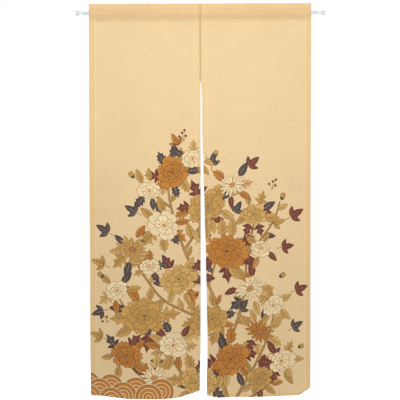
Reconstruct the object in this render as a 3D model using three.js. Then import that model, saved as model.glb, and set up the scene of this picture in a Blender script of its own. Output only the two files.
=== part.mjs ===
import * as THREE from "three";

// Noren curtain on a tension rod, in mm.
// The origin is the centre of the rod's left end face, +X runs along the rod, +Y is the back and +Z is up.
// On a panel, s runs from the slit edge outwards and h runs down from the rod's centre line.

const rodLength = 950;
const seamX = 474;
const panelWidth = 423.85;
const seamGap = 0.3;
const seamLength = 258;
const drop = 1464;

const sheetHalf = 0.55;
const hemExtra = 1.1;
const slitHem = 17;
const outerHem = 20;
const bottomHem = 15;
const stepRun = 1.2;
const slitStartRun = 10;

const casing = {
  clearRadius: 6.32,
  wall: 1.1,
  topPoint: 20,
  lowPoint: 20.7,
  headerHalf: 1.15,
  topFold: 36,
  stitchRow: 21.5,
  turningEnd: 29,
  arcSteps: 4,
  wallSag: 0.2,
};

const tube = { outerRadius: 6, outerBore: 5.5, innerRadius: 5.1, innerBore: 4.5, segments: 32 };
const tubeStart = 31;
const outerTubeEnd = 872;
const innerTubeStart = 560;
const cap = { flange: 9.5, flangeThick: 3, coneEnd: 23, neck: 4.6, collarStart: 29.4, gap: 0.3, spigotEnd: 46 };

// How each panel hangs: depths are mm behind (+) or in front of (-) the rod's plane, reached at the hem.
const leftHang = {
  side: -1,
  depthKnots: [
    { at: 0, depth: 17, from: seamLength, power: 1.3 },
    { at: 0.56, depth: -18, from: 40, power: 1.5 },
    { at: 1, depth: 7, from: 40, power: 1.2 },
  ],
  hemLine: [
    { at: 0, down: 14 },
    { at: 0.3, down: 10 },
    { at: 0.6, down: 6 },
    { at: 1, down: -1.5 },
  ],
  slitDrift: [
    [seamLength, 0],
    [700, 0.3],
    [1000, 1.4],
    [1250, 2.6],
    [1400, 5.6],
    [drop, 6],
  ],
  outerDrift: [
    [40, 0.5],
    [drop, 5],
  ],
  edgeCurl: { depth: 7, reach: 34, middle: 950, spread: 300 },
  corner: { fromOuter: false, along: 72, up: 26.5, radius: 11 },
  fineColumns: { first: 30, last: 130, step: 14 },
  coarseStep: 46,
};
const rightHang = {
  side: 1,
  depthKnots: [
    { at: 0, depth: 3, from: seamLength, power: 1.2 },
    { at: 0.45, depth: -7, from: 40, power: 1.3 },
    { at: 1, depth: 5, from: 40, power: 1.2 },
  ],
  hemLine: [
    { at: 0, down: -0.5 },
    { at: 0.1, down: 7 },
    { at: 0.3, down: 3.5 },
    { at: 0.65, down: 1 },
    { at: 1, down: 0.5 },
  ],
  slitDrift: [
    [seamLength, 0],
    [seamLength + slitStartRun, 3.4],
    [330, 7],
    [440, 7.4],
    [600, 11.2],
    [760, 15.2],
    [930, 19],
    [1110, 22],
    [1250, 24.5],
    [1330, 23.4],
    [1390, 20.5],
    [drop, 21.5],
  ],
  outerDrift: [
    [40, 0],
    [drop, -5.2],
  ],
  edgeCurl: { depth: 6, reach: 28, middle: 620, spread: 420 },
  corner: { fromOuter: true, along: 40, up: 25.5, radius: 11 },
  fineColumns: { first: 350, last: 396, step: 11.5 },
  coarseStep: 48,
};

const clamp01 = (v) => Math.min(1, Math.max(0, v));
const ease = (v) => 0.5 - 0.5 * Math.cos(Math.PI * clamp01(v));

// A value eased between knots; each knot's own value comes from valueOf.
function between(knots, place, valueOf) {
  if (place <= knots[0].at) return valueOf(knots[0]);
  for (let i = 1; i < knots.length; i++) {
    const a = knots[i - 1];
    const b = knots[i];
    if (place <= b.at) {
      const share = ease((place - a.at) / (b.at - a.at));
      return valueOf(a) * (1 - share) + valueOf(b) * share;
    }
  }
  return valueOf(knots[knots.length - 1]);
}

function depthAt(hang, s, h) {
  const wave = between(hang.depthKnots, s / panelWidth, (knot) => {
    const grown = clamp01((h - knot.from) / (drop - knot.from));
    return knot.depth * Math.pow(grown, knot.power);
  });
  const curl = hang.edgeCurl;
  const fromEdge = Math.max(0, panelWidth - s) / curl.reach;
  const band = Math.exp(-Math.pow((h - curl.middle) / curl.spread, 2)) * ease((h - 40) / 120);
  return wave + curl.depth * Math.exp(-fromEdge * fromEdge) * band;
}

// Sideways shift of an edge, outwards from the slit.
function driftAt(table, h) {
  if (h <= table[0][0]) return table[0][1];
  for (let i = 1; i < table.length; i++) {
    const [h0, d0] = table[i - 1];
    const [h1, d1] = table[i];
    if (h <= h1) return d0 + (d1 - d0) * ease((h - h0) / (h1 - h0));
  }
  return table[table.length - 1][1];
}

// A corner rolled to the back about a slanting line.
function rollCorner(hang, s, h) {
  const c = hang.corner;
  const length = Math.hypot(c.along, c.up);
  const outward = c.fromOuter ? 1 : -1;
  const alongS = (outward * c.up) / length;
  const alongH = c.along / length;
  const edge = c.fromOuter ? panelWidth : 0;
  const past = (s - edge) * alongS + (h - (drop - c.up)) * alongH + c.radius;
  if (past <= 0) return { s, h, back: 0 };
  const angle = past / c.radius;
  const shift = past - c.radius * Math.sin(angle);
  return { s: s - shift * alongS, h: h - shift * alongH, back: c.radius * (1 - Math.cos(angle)) };
}

// The narrowing of a width that runs in and out in depth, summed along s.
function widthOn(hang, s, h) {
  const steps = 24;
  const dx = s / steps;
  let sum = 0;
  for (let i = 0; i < steps; i++) {
    const slope = (depthAt(hang, (i + 1) * dx, h) - depthAt(hang, i * dx, h)) / (dx || 1);
    sum += dx * Math.sqrt(1 - Math.min(0.8, slope * slope));
  }
  return sum;
}

function surface(hang, s0, h0) {
  const rolled = rollCorner(hang, s0, h0);
  const { s, h } = rolled;
  const y = depthAt(hang, s, h) + rolled.back;
  const down = between(hang.hemLine, s / panelWidth, (knot) => knot.down);
  const lower = h > 40 ? (down * (h - 40)) / (drop - 40) : 0;
  const across = clamp01(s / panelWidth);
  const drift = driftAt(hang.slitDrift, h) * (1 - across) + driftAt(hang.outerDrift, h) * across;
  const x = seamX + hang.side * (seamGap / 2 + drift + widthOn(hang, s, h));
  return new THREE.Vector3(x, y, -(h + lower));
}

// The point at offset n behind the surface.
function place(hang, s, h, n) {
  const step = 0.4;
  const across = surface(hang, s + step, h).sub(surface(hang, s - step, h));
  const downward = surface(hang, s, h + step).sub(surface(hang, s, h - step));
  const back = across.cross(downward).normalize();
  if (hang.side < 0) back.negate();
  return surface(hang, s, h).addScaledVector(back, n);
}

// Front or back wall of the casing from the stitching to the header: [n, h] pairs for one wall.
function casingWall(radius, endHalf, lowPoint, topPoint) {
  const lean = (reach) => Math.acos(casing.clearRadius / reach);
  const line = (angle, k, sign, sag = 0) => [
    radius * Math.sin(angle) - k * Math.cos(angle) - sag,
    sign * (radius * Math.cos(angle) + k * Math.sin(angle)),
  ];
  const low = lean(lowPoint);
  const top = lean(topPoint);
  const run = (angle) => (radius * Math.sin(angle) - endHalf) / Math.cos(angle);
  const points = [line(low, run(low), 1)];
  points.push(line(low, run(low) * 0.45, 1, casing.wallSag));
  for (let i = 0; i <= casing.arcSteps; i++) {
    const angle = low + ((Math.PI - top - low) * i) / casing.arcSteps;
    points.push([radius * Math.sin(angle), radius * Math.cos(angle)]);
  }
  points.push(line(top, run(top) * 0.45, -1, casing.wallSag));
  points.push(line(top, run(top), -1));
  return points;
}

function hemAt(s, h) {
  const inHem = s < slitHem || s > panelWidth - outerHem || h > drop - bottomHem;
  return inHem ? hemExtra : 0;
}

function panelColumns(hang) {
  const half = stepRun / 2;
  const columns = [0, slitHem - half, slitHem + half];
  const fine = hang.fineColumns;
  const outerStep = panelWidth - outerHem;
  let s = columns[2];
  while (true) {
    const near = s + 1 >= fine.first - fine.step && s < fine.last;
    s += near ? fine.step : hang.coarseStep;
    if (s > outerStep - 8) break;
    columns.push(s);
  }
  columns.push(outerStep - half, outerStep + half, panelWidth - 9, panelWidth);
  return columns;
}

function sheetRows() {
  const half = stepRun / 2;
  const turning = casing.turningEnd;
  const rows = [casing.stitchRow, 26, turning, turning + stepRun];
  const fineFrom = drop - 78;
  const start = turning + stepRun;
  const slitStart = seamLength + slitStartRun;
  const evenly = (from, to, count) => {
    for (let i = 1; i <= count; i++) rows.push(from + ((to - from) * i) / count);
  };
  evenly(start, seamLength, 3);
  evenly(seamLength, slitStart, 1);
  evenly(slitStart, 330, 1);
  evenly(330, fineFrom, 14);
  const fine = 10;
  const hemTop = drop - bottomHem;
  for (let i = 1; i < fine; i++) rows.push(fineFrom + ((hemTop - fineFrom) * i) / fine);
  rows.push(hemTop - half, hemTop + half, drop - 7, drop);
  return rows;
}

function frontOffset(h) {
  return h <= casing.stitchRow ? -casing.headerHalf : -sheetHalf;
}

function backOffset(s, h) {
  if (h <= casing.turningEnd) return casing.headerHalf;
  return sheetHalf + hemAt(s, h);
}

// One panel's outline in its section: up the front, over the casing and down the back.
function outerSection(s, rows) {
  const wall = casingWall(
    casing.clearRadius + casing.wall,
    casing.headerHalf,
    casing.lowPoint,
    casing.topPoint,
  );
  const front = rows.toReversed().map((h) => [frontOffset(h), h]);
  const back = rows.map((h) => [backOffset(s, h), h]);
  const half = casing.headerHalf;
  const foldCentre = -(casing.topFold - half);
  const fold = [0.25, 0.5, 0.75].map((share) => {
    const angle = Math.PI * share;
    return [-half * Math.cos(angle), foldCentre - half * Math.sin(angle)];
  });
  const header = [-1, 1].map((sign) => [sign * half, foldCentre]);
  return [
    ...front,
    ...wall.map(([n, h]) => [-n, h]),
    header[0],
    ...fold,
    header[1],
    ...wall.toReversed(),
    ...back,
  ];
}

function holeSection() {
  const wall = casingWall(casing.clearRadius, 0, casing.lowPoint, casing.topPoint);
  const backSide = wall.slice(0, -1);
  const frontSide = wall.toReversed().slice(0, -1);
  return [...backSide, ...frontSide.map(([n, h]) => [-n, h])];
}

const signedArea = (a, b, c) => (b[0] - a[0]) * (c[1] - a[1]) - (c[0] - a[0]) * (b[1] - a[1]);

function turnOutwards(geometry) {
  const p = geometry.attributes.position;
  const index = geometry.index.array;
  const corner = (i) => new THREE.Vector3().fromBufferAttribute(p, index[i]);
  let volume = 0;
  for (let i = 0; i < index.length; i += 3) {
    volume += corner(i).dot(corner(i + 1).cross(corner(i + 2)));
  }
  if (volume < 0) {
    for (let i = 0; i < index.length; i += 3) {
      [index[i + 1], index[i + 2]] = [index[i + 2], index[i + 1]];
    }
  }
  geometry.computeVertexNormals();
  return geometry;
}

function panelGeometry(hang) {
  const columns = panelColumns(hang);
  const rows = sheetRows();
  const outer = columns.map((s) => outerSection(s, rows));
  const hole = holeSection();
  const outerCount = outer[0].length;
  const ring = outerCount + hole.length;
  const positions = [];
  columns.forEach((s, i) => {
    for (const [n, h] of [...outer[i], ...hole]) positions.push(...place(hang, s, h, n).toArray());
  });

  const index = [];
  const quad = (a, b, c, d) => index.push(a, b, c, a, c, d);
  const loft = (start, count) => {
    for (let i = 0; i < columns.length - 1; i++) {
      for (let k = 0; k < count; k++) {
        const a = i * ring + start + k;
        const b = i * ring + start + ((k + 1) % count);
        quad(a, b, b + ring, a + ring);
      }
    }
  };
  loft(0, outerCount);
  loft(outerCount, hole.length);

  // End faces: the casing's ring is cut into triangles, the sheet below it is a strip.
  const sheetCount = rows.length;
  const section = outer[0];
  const contour = section.slice(sheetCount - 1, outerCount - sheetCount + 1);
  const asVector = ([n, h]) => new THREE.Vector2(n, h);
  const cut = THREE.ShapeUtils.triangulateShape(contour.map(asVector), [hole.map(asVector)]);
  const sectionPoint = [...contour, ...hole];
  const sectionIndex = [
    ...contour.map((_, k) => sheetCount - 1 + k),
    ...hole.map((_, k) => outerCount + k),
  ];
  const loopSign = Math.sign(loopArea(section));
  const faces = cut.map((face) => {
    const sign = Math.sign(signedArea(...face.map((k) => sectionPoint[k])));
    const ordered = sign === loopSign ? face : [face[0], face[2], face[1]];
    return ordered.map((k) => sectionIndex[k]);
  });
  for (let j = 0; j < sheetCount - 1; j++) {
    const front = j;
    const back = outerCount - 1 - j;
    faces.push([front, front + 1, back - 1], [front, back - 1, back]);
  }
  const last = (columns.length - 1) * ring;
  for (const [a, b, c] of faces) {
    index.push(a + last, b + last, c + last);
    index.push(a, c, b);
  }

  const geometry = new THREE.BufferGeometry();
  geometry.setAttribute("position", new THREE.Float32BufferAttribute(positions, 3));
  geometry.setIndex(index);
  return turnOutwards(geometry);
}

function loopArea(points) {
  return points.reduce((sum, [x, y], i) => {
    const [x2, y2] = points[(i + 1) % points.length];
    return sum + x * y2 - x2 * y;
  }, 0);
}

// A solid of revolution about the rod's axis from [x, radius] pairs.
function turned(profile) {
  const points = profile.map(([x, radius]) => new THREE.Vector2(radius, x));
  const geometry = new THREE.LatheGeometry(points, tube.segments);
  geometry.rotateZ(-Math.PI / 2);
  return turnOutwards(geometry);
}

function tubeGeometry(start, end, radius, bore) {
  return turned([
    [start, bore],
    [start, radius],
    [end, radius],
    [end, bore],
    [start, bore],
  ]);
}

// An end cap seen from its wall face inwards; along turns a distance from that face into x.
function capGeometry(along, tubeRadius, bore) {
  const collarEnd = tubeStart - cap.gap;
  const spigot = bore - cap.gap;
  return turned(
    [
      [0, 0],
      [0, cap.flange - 0.6],
      [0.6, cap.flange],
      [cap.flangeThick, cap.flange],
      [cap.flangeThick + 4, 7.4],
      [cap.flangeThick + 11, 5.6],
      [cap.coneEnd, cap.neck],
      [cap.collarStart, cap.neck],
      [cap.collarStart, tubeRadius],
      [collarEnd, tubeRadius],
      [collarEnd, spigot],
      [cap.spigotEnd, spigot],
      [cap.spigotEnd, 0],
    ].map(([distance, radius]) => [along(distance), radius]),
  );
}

const clothColour = new THREE.Color(0.92, 0.8, 0.6);
const plasticColour = new THREE.Color(0.88, 0.89, 0.9);
const paintColour = new THREE.Color(0.93, 0.95, 0.97);

function named(name, geometry, color, roughness) {
  const mesh = new THREE.Mesh(geometry, new THREE.MeshStandardMaterial({ color, roughness }));
  mesh.name = name;
  return mesh;
}

const noren = new THREE.Group();
noren.add(named("left_panel", panelGeometry(leftHang), clothColour, 0.95));
noren.add(named("right_panel", panelGeometry(rightHang), clothColour, 0.95));
noren.add(
  named(
    "outer_tube",
    tubeGeometry(tubeStart, outerTubeEnd, tube.outerRadius, tube.outerBore),
    paintColour,
    0.35,
  ),
);
noren.add(
  named(
    "inner_tube",
    tubeGeometry(innerTubeStart, rodLength - tubeStart, tube.innerRadius, tube.innerBore),
    paintColour,
    0.35,
  ),
);
noren.add(named("left_cap", capGeometry((d) => d, tube.outerRadius, tube.outerBore), plasticColour, 0.5));
noren.add(
  named(
    "right_cap",
    capGeometry((d) => rodLength - d, tube.innerRadius, tube.innerBore),
    plasticColour,
    0.5,
  ),
);

export default noren;
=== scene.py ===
import math
import random

import bmesh
import bpy
import numpy as np
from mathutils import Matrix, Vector
from mathutils.geometry import delaunay_2d_cdt


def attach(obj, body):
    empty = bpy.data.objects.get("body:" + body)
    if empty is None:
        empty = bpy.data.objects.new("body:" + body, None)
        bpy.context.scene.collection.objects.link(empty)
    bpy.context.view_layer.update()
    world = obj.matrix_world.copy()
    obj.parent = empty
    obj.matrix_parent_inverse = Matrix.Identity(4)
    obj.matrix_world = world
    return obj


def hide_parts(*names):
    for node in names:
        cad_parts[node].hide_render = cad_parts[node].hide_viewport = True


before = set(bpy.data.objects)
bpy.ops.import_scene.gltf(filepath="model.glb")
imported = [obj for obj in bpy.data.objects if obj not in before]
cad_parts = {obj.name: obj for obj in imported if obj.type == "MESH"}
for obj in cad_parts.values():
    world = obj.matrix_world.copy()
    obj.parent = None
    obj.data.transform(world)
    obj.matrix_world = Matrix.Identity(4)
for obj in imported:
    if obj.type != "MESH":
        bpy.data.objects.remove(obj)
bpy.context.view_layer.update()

# Noren curtain on a tension rod. Lengths are in mm in the cloth's own working and in metres on the objects.
# On a panel, s runs from the slit edge outwards, h down from the rod's centre line and n to the back.

mm = 0.001


def toLinear(seen):  # a colour as seen, 0 to 255, to the shader's linear value
    v = np.array(seen) / 255
    return np.where(v <= 0.04045, v / 12.92, ((v + 0.055) / 1.055) ** 2.4)


def addObject(name, data):
    made = bpy.data.objects.new(name, data)
    bpy.context.scene.collection.objects.link(made)
    return made


def setInputs(tree, node, values):  # a value is a number, a colour, or the node or output to link from
    for key, value in values.items():
        socket = node.inputs[key]
        if isinstance(value, bpy.types.Node):
            value = value.outputs[0]
        if isinstance(value, bpy.types.NodeSocket):
            tree.links.new(value, socket)
        else:
            socket.default_value = (*value, 1) if socket.type == "RGBA" else value


def addNode(tree, kind, values=None, **settings):
    made = tree.nodes.new("ShaderNode" + kind)
    for key, value in settings.items():
        setattr(made, key, value)
    setInputs(tree, made, values or {})
    return made


def mapRange(tree, value, span):
    return addNode(tree, "MapRange", {"Value": value, "To Min": span[0], "To Max": span[1]})


def newMaterial(name, values):
    material = bpy.data.materials.new(name)
    material.use_nodes = True
    tree = material.node_tree
    surface = tree.nodes["Principled BSDF"]
    setInputs(tree, surface, values)
    return material, tree, surface


# The camera, lights and floor.

view = {
    "distance": 2.4,
    "lens": 56.5,
    "sensorWidth": 36,
    "clipEnd": 60,
    "centre": (0.4713, 0.0, -0.7149),
    "roll": 0.2,
}
studio = {
    "floorCentre": (0.47, 0.0, -1.9),
    "floorRadius": 16.0,
    "floorTone": (0.84, 0.88),
    "floorGlow": (0.2, 0.65),  # as light on the cloth and as the camera sees it
    "skyStrength": (0.415, 1.0),  # the same for the sky
    "lights": [  # name, place, aim, size, power, colour
        ("softKey", (0.44, -1.3, 0.05), (0.44, 0.0, -0.35), (1.7, 0.6), 14.1, (0.95, 1.0, 1.0)),
        ("softFill", (1.8, -2.5, -1.2), (0.5, 0.0, -1.0), (1.6, 1.6), 9.6, (1.0, 0.985, 0.965)),
        ("softRear", (0.2, 2.3, 0.1), (0.5, 0.0, -0.6), (2.2, 1.2), 34, (1.0, 1.0, 0.99)),
    ],
}


def addCamera():
    camera = bpy.data.cameras.new("photoCamera")
    camera.lens = view["lens"]
    camera.sensor_width = view["sensorWidth"]
    camera.clip_end = view["clipEnd"]
    holder = addObject("photoCamera", camera)
    x, y, z = view["centre"]
    holder.location = (x, y - view["distance"], z)
    holder.rotation_euler = (math.radians(90), math.radians(view["roll"]), 0)
    bpy.context.scene.camera = holder


def addAreaLight(name, place, aim, size, power, colour):
    lamp = bpy.data.lights.new(name, "AREA")
    lamp.shape = "RECTANGLE"
    lamp.size, lamp.size_y = size
    lamp.energy = power
    lamp.color = colour
    holder = addObject(name, lamp)
    holder.location = place
    holder.rotation_euler = (Vector(aim) - Vector(place)).to_track_quat("-Z", "Y").to_euler()


def addSky():
    world = bpy.data.worlds.new("studioSky")
    bpy.context.scene.world = world
    world.use_nodes = True
    tree = world.node_tree
    tree.nodes.clear()
    rays = addNode(tree, "LightPath").outputs["Is Camera Ray"]
    strength = mapRange(tree, rays, studio["skyStrength"])
    sky = addNode(tree, "Background", {"Color": (1, 1, 1), "Strength": strength})
    addNode(tree, "OutputWorld", {"Surface": sky})


def addFloor():
    mesh = bpy.data.meshes.new("studioFloor")
    shape = bmesh.new()
    bmesh.ops.create_circle(shape, cap_ends=True, segments=96, radius=studio["floorRadius"])
    bmesh.ops.translate(shape, verts=shape.verts, vec=studio["floorCentre"])
    shape.to_mesh(mesh)
    shape.free()
    paint, tree, surface = newMaterial("paleFloor", {"Roughness": 0.8, "Emission Color": (1, 1, 1)})
    rays = addNode(tree, "LightPath").outputs["Is Camera Ray"]
    grain = addNode(tree, "TexNoise", {"Scale": 3.0})
    glow, tone = mapRange(tree, rays, studio["floorGlow"]), mapRange(tree, grain, studio["floorTone"])
    setInputs(tree, surface, {"Base Color": tone, "Emission Strength": glow})
    mesh.materials.append(paint)
    addObject("studioFloor", mesh)


addCamera()
addSky()
addFloor()
for row in studio["lights"]:
    addAreaLight(*row)
bpy.context.scene.view_settings.view_transform = "Standard"
print("camera, sky, floor and lights are set")

# How the cloth hangs, the same as the solids.

cloth = {
    "seamX": 474.0,
    "width": 423.85,
    "gap": 0.3,
    "seamLength": 258.0,
    "drop": 1464.0,
    "thickness": 0.36,
}
hangs = {
    "left": {
        "side": -1,
        "knots": [(0.0, 17.0, 258.0, 1.3), (0.56, -18.0, 40.0, 1.5), (1.0, 7.0, 40.0, 1.2)],
        "hemLine": [(0.0, 14.0), (0.3, 10.0), (0.6, 6.0), (1.0, -1.5)],
        "slitDrift": [(258, 0.0), (700, 0.3), (1000, 1.4), (1250, 2.6), (1400, 5.6), (1464, 6.0)],
        "outerDrift": [(40, 0.5), (1464, 5.0)],
        "edgeCurl": (7.0, 34.0, 950.0, 300.0),
        "corner": {"atOuter": False, "along": 72.0, "up": 26.5, "radius": 11.0},
    },
    "right": {
        "side": 1,
        "knots": [(0.0, 3.0, 258.0, 1.2), (0.45, -7.0, 40.0, 1.3), (1.0, 5.0, 40.0, 1.2)],
        "hemLine": [(0.0, -0.5), (0.1, 7.0), (0.3, 3.5), (0.65, 1.0), (1.0, 0.5)],
        "slitDrift": [(258, 0.0), (268, 3.4), (330, 7.0), (440, 7.4), (600, 11.2), (760, 15.2), (930, 19.0)]
        + [(1110, 22.0), (1250, 24.5), (1330, 23.4), (1390, 20.5), (1464, 21.5)],
        "outerDrift": [(40, 0.0), (1464, -5.2)],
        "edgeCurl": (6.0, 28.0, 620.0, 420.0),
        "corner": {"atOuter": True, "along": 40.0, "up": 25.5, "radius": 11.0},
    },
}


def clip01(v):
    return np.clip(v, 0.0, 1.0)


def bell(x, reach):
    return np.exp(-((x / reach) ** 2))


def ease(v):
    return 0.5 - 0.5 * np.cos(np.pi * clip01(v))


def eased(x, places, values):  # values eased between places; a value may itself be an array
    values = [np.broadcast_to(v, x.shape) for v in values]
    found = values[0].copy()
    for i in range(len(places) - 1):
        share = ease((x - places[i]) / (places[i + 1] - places[i]))
        inside = x > places[i]
        found = np.where(inside, values[i] * (1 - share) + values[i + 1] * share, found)
    return found


def depthAt(hang, s, h):
    values = [
        depth * clip01((h - start) / (cloth["drop"] - start)) ** power
        for _, depth, start, power in hang["knots"]
    ]
    wave = eased(s / cloth["width"], [knot[0] for knot in hang["knots"]], values)
    depth, reach, middle, spread = hang["edgeCurl"]
    band = bell(h - middle, spread) * ease((h - 40) / 120)
    return wave + depth * bell(np.maximum(0, cloth["width"] - s), reach) * band


def rollCorner(hang, s, h):
    corner = hang["corner"]
    length = math.hypot(corner["along"], corner["up"])
    alongS = (1 if corner["atOuter"] else -1) * corner["up"] / length
    alongH = corner["along"] / length
    edge = cloth["width"] if corner["atOuter"] else 0.0
    radius = corner["radius"]
    past = (s - edge) * alongS + (h - (cloth["drop"] - corner["up"])) * alongH + radius
    past = np.maximum(past, 0)
    shift = past - radius * np.sin(past / radius)
    return s - shift * alongS, h - shift * alongH, radius * (1 - np.cos(past / radius))


def widthOn(hang, s, h):
    steps = 24
    run = s / steps
    safe = np.where(np.abs(run) < 1e-6, 1e-6, run)
    total = np.zeros_like(s)
    last = depthAt(hang, np.zeros_like(s), h)
    for i in range(1, steps + 1):
        now = depthAt(hang, i * run, h)
        total += run * np.sqrt(1 - np.minimum(0.8, ((now - last) / safe) ** 2))
        last = now
    return total


def surfaceAt(hang, s, h):
    s, h, back = rollCorner(hang, s, h)
    y = depthAt(hang, s, h) + back
    hem = hang["hemLine"]
    down = eased(s / cloth["width"], [row[0] for row in hem], [row[1] for row in hem])
    lower = down * clip01((h - 40) / (cloth["drop"] - 40))
    across = clip01(s / cloth["width"])
    drift = np.zeros_like(s)
    for key, share in (("slitDrift", 1 - across), ("outerDrift", across)):
        drift += share * eased(h, [row[0] for row in hang[key]], [row[1] for row in hang[key]])
    x = cloth["seamX"] + hang["side"] * (cloth["gap"] / 2 + drift + widthOn(hang, s, h))
    return np.stack([x, y, -(h + lower)], -1)


def placeOn(hang, s, h, n):  # the point n behind the hung surface
    step = 0.4
    across = surfaceAt(hang, s + step, h) - surfaceAt(hang, s - step, h)
    downward = surfaceAt(hang, s, h + step) - surfaceAt(hang, s, h - step)
    back = np.cross(across, downward) * hang["side"]
    back /= np.linalg.norm(back, axis=-1, keepdims=True)
    return surfaceAt(hang, s, h) + back * n[..., None]


# How the cloth is cut, folded and sewn.

cut = {
    "bend": 0.55,
    "tuckBend": 0.27,
    "slitHem": 17.0,
    "slitTuck": 7.0,
    "outerHem": 20.0,
    "outerTuck": 8.0,
    "bottomHem": 15.0,
    "bottomTuck": 7.0,
    "casingStart": 24.0,
    "cornerBend": 0.6,
}
casing = {
    "clearRadius": 6.3,
    "midRadius": 6.75,
    "half": 0.45,
    "lowPoint": 20.7,
    "topPoint": 20.0,
    "topFold": 35.6,
    "backLayer": 0.95,
    "backStart": 22.4,
    "turningEnd": 28.2,
    "tuckEnd": 22.6,
    "sag": 0.25,
    "tuckBend": 0.25,
}
puckers = {"stitching": 0.16, "gather": 0.9, "bottomHem": 0.25, "seam": 2.5}
creases = {  # s, h at the top, h at the bottom, half width, depth (+ is a trough), sideways lean
    "left": [
        (60, 40, 620, 46, 1.6, 18),
        (150, 30, 420, 60, -1.5, -24),
        (262, 60, 900, 52, 1.8, -30),
        (352, 30, 520, 40, -1.4, 16),
        (385, 640, 1330, 26, 3.0, -10),
        (300, 900, 1464, 34, -2.4, 22),
        (100, 1000, 1464, 40, 2.2, -26),
        (205, 1150, 1464, 24, 1.6, 12),
        (336, 1180, 1464, 22, 1.8, -14),
    ],
    "right": [
        (70, 30, 560, 50, -1.6, 20),
        (175, 60, 760, 58, 1.6, -16),
        (300, 40, 640, 46, -1.5, 26),
        (372, 160, 1100, 30, 2.4, -12),
        (120, 760, 1464, 44, 2.2, 18),
        (236, 900, 1464, 40, -2.0, -22),
        (325, 1050, 1464, 36, 2.2, 20),
        (60, 1150, 1464, 22, -1.4, -8),
    ],
}


def foldedEdge(t, bend, flat):  # a hem turned twice to the back; t is the length past the start of its bend
    small = cut["tuckBend"]
    first = np.clip(t / bend, 0, np.pi)
    run = np.clip(t - np.pi * bend, 0, flat)
    second = np.clip((t - np.pi * bend - flat) / small, 0, np.pi)
    under = np.maximum(0, t - np.pi * (bend + small) - flat)
    out = bend * np.sin(first) - run - small * np.sin(second) + under
    n = bend * (1 - np.cos(first)) - small * (1 - np.cos(second))
    return out, n, -np.sin(first + second), np.cos(first + second)


def foldStops(flat, tuck, stitchAt):  # lengths past the bend at which the mesh needs a line
    bend, small = cut["bend"], cut["tuckBend"]
    stops = [bend * np.pi * i / 4 for i in range(5)]
    start = stops[-1]
    stops += [start + flat * share for share in (0.3, 0.6)] + [start + flat - stitchAt, start + flat]
    start += flat
    stops += [start + small * np.pi * i / 3 for i in (1, 2, 3)]
    start = stops[-1]
    return stops[1:] + [start + tuck * 0.5, start + tuck]


def casingCurve():  # from the panel's front, up over the rod and down behind it, as [n, h] points
    lean = [math.acos(casing["clearRadius"] / casing[point]) for point in ("lowPoint", "topPoint")]
    radius, half = casing["midRadius"], casing["half"]

    def wallPoint(angle, share, sign):
        k = share * (radius * math.sin(angle) - half) / math.cos(angle)
        sag = casing["sag"] * math.sin(math.pi * share)
        n = radius * math.sin(angle) - k * math.cos(angle) - sag
        return [n, sign * (radius * math.cos(angle) + k * math.sin(angle))]

    wall = [wallPoint(lean[0], share, 1) for share in (1, 0.75, 0.5, 0.25)]
    for i in range(11):
        angle = lean[0] + (math.pi - lean[1] - lean[0]) * i / 10
        wall.append([radius * math.sin(angle), radius * math.cos(angle)])
    wall += [wallPoint(lean[1], share, -1) for share in (0.25, 0.5, 0.75, 1)]
    fold = casing["topFold"] - half
    top = [[-half * math.cos(math.pi * i / 6), -fold - half * math.sin(math.pi * i / 6)] for i in range(7)]
    small = casing["tuckBend"]
    centre = casing["backLayer"] - small
    turns = [math.pi * i / 4 for i in range(5)]
    end = casing["turningEnd"]
    tuck = [[centre + small * math.cos(turn), end + small * math.sin(turn)] for turn in turns]
    points = [[0.0, cut["casingStart"]]] + [[-n, h] for n, h in wall]
    points += [[-half, -(casing["topPoint"] + fold) / 2]] + top + [[half, -(casing["topPoint"] + fold) / 2]]
    points += wall[::-1] + [[casing["backLayer"], casing["backStart"]]] + tuck
    points += [[centre - small, casing["tuckEnd"]]]
    return np.array(points)


casingPoints = casingCurve()
casingLengths = np.concatenate([[0], np.cumsum(np.linalg.norm(np.diff(casingPoints, axis=0), axis=1))])
casingSteps = np.linspace(0, casingLengths[-1], 900)
casingFine = np.stack([np.interp(casingSteps, casingLengths, casingPoints[:, i]) for i in (0, 1)], -1)
casingTangents = np.gradient(casingFine, casingSteps, axis=0)
kernel = np.ones(7) / 7
padded = np.pad(casingTangents, ((3, 3), (0, 0)), "edge")
casingTangents = np.stack([np.convolve(padded[:, i], kernel, "valid") for i in (0, 1)], -1)
casingTangents /= np.linalg.norm(casingTangents, axis=1, keepdims=True)

mainWidth = cloth["width"] - 2 * cut["bend"]
mainLength = cloth["drop"] - cut["bend"] - cut["casingStart"]
slitFlat = cut["slitHem"] - cut["bend"] - cut["tuckBend"]
outerFlat = cut["outerHem"] - cut["bend"] - cut["tuckBend"]
bottomFlat = cut["bottomHem"] - cut["bend"] - cut["tuckBend"]


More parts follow.
